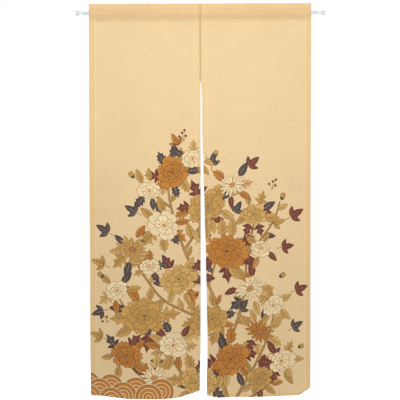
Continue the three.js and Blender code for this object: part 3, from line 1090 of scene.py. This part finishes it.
def linenWeaveGroup():
    tree, given, end = newGroup("linenWeave", {"Threads per metre": 900.0, "Slub": 0.15})
    axes = addNode(tree, "SeparateXYZ", {0: given["Place"]}).outputs
    wander = addNode(tree, "TexNoise", {"Vector": given["Place"], "Scale": 55.0, "Detail": 1.0})
    drift = times(tree, wander, 2.2)
    waves = []
    for axis in (0, 1):
        count = times(tree, axes[axis], given["Threads per metre"])
        turn = times(tree, plus(tree, count, drift), 2 * math.pi)
        waves.append(calculate(tree, "SINE", turn))
    crossing = times(tree, *waves)
    streaks = []
    for across, down, offset in ((26.0, 620.0, 0.0), (620.0, 26.0, 7.3), (9.0, 130.0, 3.1)):
        spread = [times(tree, axes[i], scale) for i, scale in ((0, across), (1, down))]
        place = addNode(tree, "CombineXYZ", {0: spread[0], 1: spread[1], 2: offset})
        noise = {"Vector": place, "Scale": 1.0, "Detail": 2.0, "Roughness": 0.55}
        streaks.append(plus(tree, addNode(tree, "TexNoise", noise), -0.5))
    slubs = times(tree, plus(tree, *streaks), given["Slub"])
    tone = plus(tree, times(tree, crossing, 0.035), slubs, 1.0)
    ribs, rises = times(tree, crossing, 0.5), times(tree, slubs, 3.0)
    setInputs(tree, end, {"Tone": tone, "Height": plus(tree, ribs, rises)})
    return tree


def fineGrainGroup():
    tree, given, end = newGroup("fineGrain", {"Grain size": 0.0004, "Strength": 0.1})
    place, scale = given["Place"], calculate(tree, "DIVIDE", 1.0, given["Grain size"])
    fine = addNode(tree, "TexNoise", {"Vector": place, "Scale": scale, "Detail": 3.0, "Roughness": 0.6})
    broad = times(tree, scale, 0.04)
    soft = addNode(tree, "TexNoise", {"Vector": place, "Scale": broad, "Detail": 2.0})
    both = plus(tree, fine, soft, -1.0)
    tone = plus(tree, times(tree, both, given["Strength"]), 1.0)
    setInputs(tree, end, {"Tone": tone, "Height": fine})
    return tree


linenWeave = linenWeaveGroup()
fineGrain = fineGrainGroup()


def finishSurface(tree, surface, colour, tone, height, rough, bump):  # rough and bump are pairs of numbers
    toned = addNode(tree, "VectorMath", {0: colour, "Scale": tone}, operation="SCALE")
    relief = addNode(tree, "Bump", {"Height": height, "Strength": bump[0], "Distance": bump[1]})
    shine = mapRange(tree, height, rough)
    setInputs(tree, surface, {"Base Color": toned, "Roughness": shine, "Normal": relief})


def clothMaterial(name, printShare):
    gloss = {"Sheen Weight": 0.12, "Sheen Roughness": 0.6, "Specular IOR Level": 0.2}
    material, tree, surface = newMaterial(name, gloss)
    flat = addNode(tree, "UVMap", uv_map="clothFlat")
    threads = {"Place": flat, "Threads per metre": finish["threadsPerMetre"], "Slub": finish["slub"]}
    weave = addNode(tree, "Group", threads, node_tree=linenWeave)
    marks = {}
    for key in ("doubled", "paintedRidgeHighlight", "paintedSeamShadow", "shade"):
        marks[key] = addNode(tree, "Attribute", attribute_name=key).outputs["Fac"]
    ink = addNode(tree, "Attribute", attribute_name="printInk").outputs
    # Painted shade where the cloth lies double, for the light that comes through one layer but not two.
    colour = mixColours(tree, "MULTIPLY", marks["doubled"], finish["clothColour"], finish["doubleLayerShade"])
    cover = times(tree, ink["Alpha"], printShare)
    colour = mixColours(tree, "MIX", cover, colour, ink["Color"])
    colour = mixColours(tree, "MULTIPLY", marks["shade"], colour, finish["shadeTint"])
    # Painted shadow darkens the colour along the seam.
    colour = mixColours(tree, "MULTIPLY", marks["paintedSeamShadow"], colour, finish["seamShadowTint"])
    clouds = addNode(tree, "TexNoise", {"Vector": flat, "Scale": 9.0, "Detail": 4.0, "Roughness": 0.6})
    # Painted highlight beside the stitching: the colour is made paler there.
    litGain = plus(tree, times(tree, marks["paintedRidgeHighlight"], finish["highlightStrength"]), 1.0)
    uneven = mapRange(tree, clouds, finish["blotches"])
    tone = times(tree, weave, uneven, litGain)
    finishSurface(tree, surface, colour, tone, weave.outputs["Height"], (0.78, 0.95), (0.45, 0.00022))
    return material


def threadMaterial():
    material, tree, surface = newMaterial("sewingThread", {"Sheen Weight": 0.1, "Specular IOR Level": 0.3})
    place = addNode(tree, "TexCoord").outputs["Object"]
    bands = {"Vector": place, "Scale": 900.0, "Distortion": 0.6}
    twist = addNode(tree, "TexWave", bands, bands_direction="DIAGONAL").outputs["Fac"]
    sizes = {"Place": place, "Grain size": 0.002, "Strength": 0.12}
    grain = addNode(tree, "Group", sizes, node_tree=fineGrain)
    colour = mixColours(tree, "MIX", twist, (0.74, 0.55, 0.31), (0.84, 0.66, 0.41))
    finishSurface(tree, surface, colour, grain, twist, (0.6, 0.75), (0.3, 0.0001))
    return material


def grainedMaterial(name, colour, grainSize, strength, rough, bump, coat):
    material, tree, surface = newMaterial(name, {"Coat Weight": coat, "Coat Roughness": 0.2})
    place = addNode(tree, "TexCoord").outputs["Object"]
    sizes = {"Place": place, "Grain size": grainSize, "Strength": strength}
    grain = addNode(tree, "Group", sizes, node_tree=fineGrain)
    finishSurface(tree, surface, colour, grain, grain.outputs["Height"], rough, (bump, 0.0001))
    return material


rodFinishes = {  # colour, grain size and strength, roughness from and to, bump, coat
    "whitePaintedSteel": ((0.64, 0.7, 0.75), 0.0012, 0.07, (0.26, 0.4), 0.15, 0.25),
    "greyMouldedPlastic": ((0.66, 0.66, 0.67), 0.0005, 0.1, (0.42, 0.58), 0.3, 0),
    "whiteMouldedPlastic": ((0.80, 0.80, 0.78), 0.0005, 0.06, (0.36, 0.5), 0.25, 0),
    "softGripRubber": ((0.68, 0.68, 0.675), 0.0004, 0.2, (0.75, 0.92), 0.5, 0),
}
clothFaces = [clothMaterial("printedLinenFront", 1.0)]
clothFaces.append(clothMaterial("printedLinenBack", finish["printShowsBehind"]))
thread = threadMaterial()
rodPaint = {name: grainedMaterial(name, *row) for name, row in rodFinishes.items()}
print("materials made")

panels = {}
for name in hangs:
    panels[name] = buildPanel(name)
    for material in clothFaces:
        panels[name].data.materials.append(material)


# Stitches, small raised dashes of thread along each hem and under the rod.

sewing = {
    "length": 2.6,
    "pitch": 3.4,
    "width": 0.55,
    "rise": 0.2,
    "sunk": 0.04,
    "wander": 0.07,
    "slant": 0.05,
    "seamPitch": 4.2,
    "seamLength": 1.9,
    "barPitch": 0.75,
}


def oneStitch():  # one long, one wide and one high, thinner at its ends
    shape = bmesh.new()
    bmesh.ops.create_cube(shape, size=1)
    lengthwise = [edge for edge in shape.edges if abs(edge.verts[0].co.x - edge.verts[1].co.x) > 0.5]
    bmesh.ops.subdivide_edges(shape, edges=lengthwise, cuts=2)
    ends = [vert for vert in shape.verts if abs(vert.co.x) > 0.4]
    bmesh.ops.scale(shape, verts=ends, vec=(1, 0.5, 0.45))
    bmesh.ops.translate(shape, verts=ends, vec=(0, 0, -0.24))
    shape.verts.index_update()
    points = np.array([vert.co for vert in shape.verts])
    faces = np.array([[vert.index for vert in face.verts] for face in shape.faces])
    shape.free()
    return points, faces


stitchPoints, stitchFaces = oneStitch()


def joinedStitches(name, places):  # places is every stitch's points, one row a stitch
    count = len(places)
    mesh = bpy.data.meshes.new(name)
    faces = (stitchFaces[None] + (np.arange(count) * len(stitchPoints))[:, None, None]).reshape(-1, 4)
    mesh.from_pydata((places.reshape(-1, 3) * mm).tolist(), [], faces.tolist())
    shape = bmesh.new()
    shape.from_mesh(mesh)
    bmesh.ops.recalc_face_normals(shape, faces=shape.faces)
    shape.to_mesh(mesh)
    shape.free()
    mesh.polygons.foreach_set("use_smooth", np.ones(len(mesh.polygons), bool))
    mesh.materials.append(thread)
    print(name, "has", count, "stitches")
    return addObject(name, mesh)


def stitchRow(name, start, end, seed):  # between two pattern places, on the cloth's outer face
    start, end = np.array(start, float), np.array(end, float)
    length = np.linalg.norm(end - start)
    toward = (end - start) / length
    count = int(length / sewing["pitch"])
    uneven = np.random.default_rng(seed)
    middle = start + toward * ((np.arange(count) + 0.5) * sewing["pitch"])[:, None]
    middle += uneven.normal(0, sewing["wander"], middle.shape)
    long = sewing["length"] * uneven.uniform(0.9, 1.08, (count, 1))
    slant = uneven.normal(0, sewing["slant"], (count, 1))
    x, y, z = (stitchPoints[:, i][None] for i in range(3))
    along, aside = x * long, y * sewing["width"] + x * long * slant
    a = middle[:, :1] + along * toward[0] - aside * toward[1]
    b = middle[:, 1:] + along * toward[1] + aside * toward[0]
    out = cloth["thickness"] / 2 - sewing["sunk"] + sewing["rise"] * (z + 0.5) + 0 * a
    return hung(name, a, b, -out)


def panelStitches(name, seed):
    bend, inside = cut["bend"], meshSteps["stitchIn"]
    slitLine = cut["slitHem"] - inside - bend
    outerLine = mainWidth + bend - cut["outerHem"] + inside
    bottomLine = mainLength + bend - cut["bottomHem"] + inside
    fold = np.pi * bend
    slitTurn, outerTurn = -fold - slitFlat + inside, mainWidth + fold + outerFlat - inside
    bottomTurn = mainLength + fold + bottomFlat - inside
    casingTurn = -casingLengths[-7]
    rows = [((a, 3), (a, bottomLine)) for a in (slitLine, outerLine)]
    rows += [((1, b), (mainWidth - 1, b)) for b in (bottomLine, -2)]
    rows += [((a, 3), (a, mainLength - 2)) for a in (slitTurn, outerTurn)]
    rows += [((21, bottomTurn), (mainWidth - 22, bottomTurn))]
    rows += [((1, casingTurn), (mainWidth - 1, casingTurn))]
    places = [stitchRow(name, start, end, seed + i) for i, (start, end) in enumerate(rows)]
    return joinedStitches(name + "PanelStitches", np.concatenate(places))


def seamStitches():  # short crossings that join the two panels, and a close bar where the slit begins
    end = cloth["seamLength"]
    heights = [*np.arange(24, end - 6, sewing["seamPitch"])]
    heights += [*np.arange(end - 5, end + 1, sewing["barPitch"])]
    uneven = np.random.default_rng(5)
    x, y, z = (stitchPoints[:, i][:, None] for i in range(3))
    up, out = np.array([0.0, 0.0, 1.0]), np.array([0.0, -1.0, 0.0])
    places = []
    for h in heights:
        place = np.zeros(1), np.array([h - cut["casingStart"]]), np.array([-0.1])
        left, right = (hung(name, *place)[0] for name in hangs)
        toward = (right - left) / np.linalg.norm(right - left)
        toward[2] += uneven.normal(0, 0.12)
        size = x * sewing["seamLength"] * toward + y * sewing["width"] * up + z * 0.5 * out
        places.append((left + right) / 2 + size)
    return joinedStitches("seamStitches", np.array(places))


stitches = {"left": panelStitches("left", 40), "right": panelStitches("right", 60)}
seamThread = seamStitches()


# The rod: two tubes, one inside the other, and an end cap at each wall.

rod = {
    "outerTube": (31.0, 872.0, 6.0, 5.5),  # start, end, radius and bore
    "innerTube": (560.0, 919.0, 5.1, 4.5),
    "length": 950.0,
    "gap": 0.3,
    "segments": 56,
    "sharpFrom": math.radians(38),
}
capShape = {
    "rubber": [(0.3, 0), (0.3, 1.6), (0, 1.9), (0, 3.2), (0.35, 3.5), (0.35, 4.4), (0, 4.7), (0, 6.0)]
    + [(0.35, 6.3), (0.35, 7.2), (0, 7.5), (0, 8.7), (0.15, 9.15), (0.6, 9.42), (1.3, 9.44)],
    "flange": [(1.35, 9.3), (1.5, 9.46), (2.5, 9.5), (2.9, 9.36), (3.15, 9.0), (4.9, 8.25), (7.0, 7.4)]
    + [(10.4, 6.38), (14.0, 5.6)],
    "neck": [(14.15, 5.45), (18.5, 4.92), (23.0, 4.6), (29.1, 4.6), (29.3, 4.7)],
}


def spunPiece(name, profile, finishes, slots=None, closed=False):  # [x, radius] turned about the rod
    shape = bmesh.new()
    verts = [shape.verts.new((x * mm, 0, r * mm)) for x, r in profile]
    pairs = list(zip(verts, verts[1:])) + ([(verts[-1], verts[0])] if closed else [])
    edges = [shape.edges.new(pair) for pair in pairs]
    turning = {"cent": (0, 0, 0), "axis": (1, 0, 0), "angle": 2 * math.pi, "steps": rod["segments"]}
    bmesh.ops.spin(shape, geom=verts + edges, use_merge=True, **turning)
    bmesh.ops.remove_doubles(shape, verts=shape.verts, dist=1e-6)
    bmesh.ops.recalc_face_normals(shape, faces=shape.faces)
    for face in shape.faces:
        face.smooth = True
        if slots:
            face.material_index = slots(face.calc_center_median().x / mm)
    for edge in shape.edges:
        if len(edge.link_faces) == 2 and edge.calc_face_angle(0) > rod["sharpFrom"]:
            edge.smooth = False
    mesh = bpy.data.meshes.new(name)
    shape.to_mesh(mesh)
    shape.free()
    for finishName in finishes:
        mesh.materials.append(rodPaint[finishName])
    return addObject(name, mesh)


def tubeSkin(name, start, end, radius, bore):  # both walls and two rolled lips
    lip = (radius - bore) / 2
    turns = [math.pi * i / 6 for i in range(7)]
    profile = [(start + lip - lip * math.sin(turn), bore + lip - lip * math.cos(turn)) for turn in turns]
    profile += [(start + (end - start) * step / 12, radius) for step in range(1, 12)]
    profile += [(end - lip + lip * math.sin(turn), bore + lip + lip * math.cos(turn)) for turn in turns]
    return spunPiece(name, profile, ["whitePaintedSteel"], closed=True)


def capShell(name, collar, bore, toLeft):
    spigot = bore - rod["gap"]
    profile = capShape["rubber"] + capShape["flange"] + capShape["neck"]
    profile += [(29.45, collar - 0.25), (29.7, collar), (30.35, collar), (30.6, collar - 0.2)]
    profile += [(30.66, spigot), (45.2, spigot), (45.8, spigot - 0.5), (46.0, spigot - 1.0), (46.0, 0)]

    def fromWall(x):
        return x if toLeft else rod["length"] - x

    def slots(x):
        return sum(fromWall(x) >= start for start in (1.3, 14.0))

    placed = [(fromWall(d), r) for d, r in profile]
    return spunPiece(name, placed, ["softGripRubber", "greyMouldedPlastic", "whiteMouldedPlastic"], slots)


outerTubeSkin = tubeSkin("outerTubeSkin", *rod["outerTube"])
innerTubeSkin = tubeSkin("innerTubeSkin", *rod["innerTube"])
leftCapShell = capShell("leftCapShell", *rod["outerTube"][2:], True)
rightCapShell = capShell("rightCapShell", *rod["innerTube"][2:], False)
print("rod made")


# What each piece stands for and the body it rides on, and the width of a panel's cloth laid flat.

standsFor = {
    outerTubeSkin: "outer_tube",
    innerTubeSkin: "inner_tube",
    leftCapShell: "left_cap",
    rightCapShell: "right_cap",
    panels["left"]: "left_panel",
    panels["right"]: "right_panel",
}
for piece, node in standsFor.items():
    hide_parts(node)
    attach(piece, "root")
for name, piece in stitches.items():
    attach(piece, "root")
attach(seamThread, "root")
flatWidth = mainWidth + 2 * math.pi * (cut["bend"] + cut["tuckBend"]) + slitFlat + outerFlat
flatWidth += cut["slitTuck"] + cut["outerTuck"]
